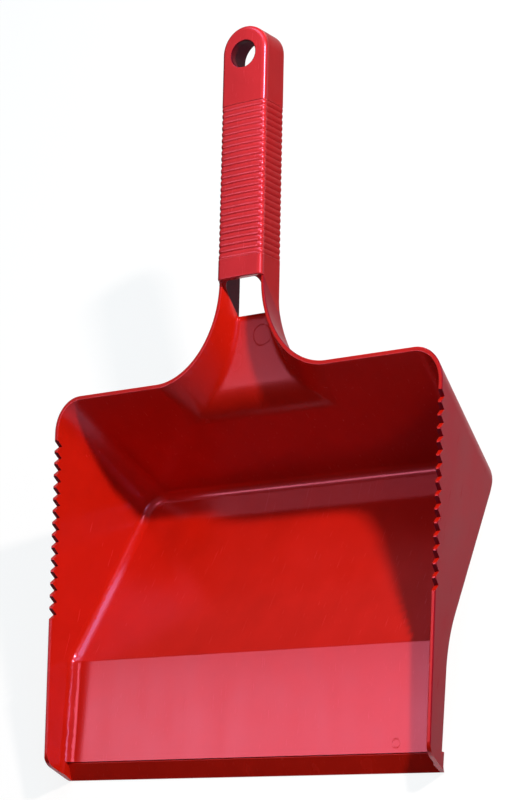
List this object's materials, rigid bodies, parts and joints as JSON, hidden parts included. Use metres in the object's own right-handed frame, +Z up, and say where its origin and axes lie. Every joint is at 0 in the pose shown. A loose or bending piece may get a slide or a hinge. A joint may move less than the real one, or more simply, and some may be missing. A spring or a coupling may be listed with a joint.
{
  "type": "dustpan",
  "caption": "Deep hand dustpan with comb-edged side walls, a bevelled front lip, a foot strip behind and a ribbed channel handle with a hanging eye.",
  "frame": {"origin": "middle of the footprint, on the floor that the lip and the foot strip stand on", "axes": "+X across the pan, +Y from the lip towards the handle's end, +Z up from the floor"},
  "size_m": [0.3096, 0.4752, 0.1931],
  "materials": {
    "pan_plastic": "glossy red, moulded",
    "lip_plastic": "satin red, moulded",
    "handle_plastic": "glossy red, moulded",
    "grip_plastic": "satin red, ribbed"
  },
  "bodies": {
    "root": {"pan": "pan_plastic", "front_lip": "lip_plastic", "handle": "handle_plastic", "grip_sleeve": "grip_plastic"}
  },
  "joints": []
}
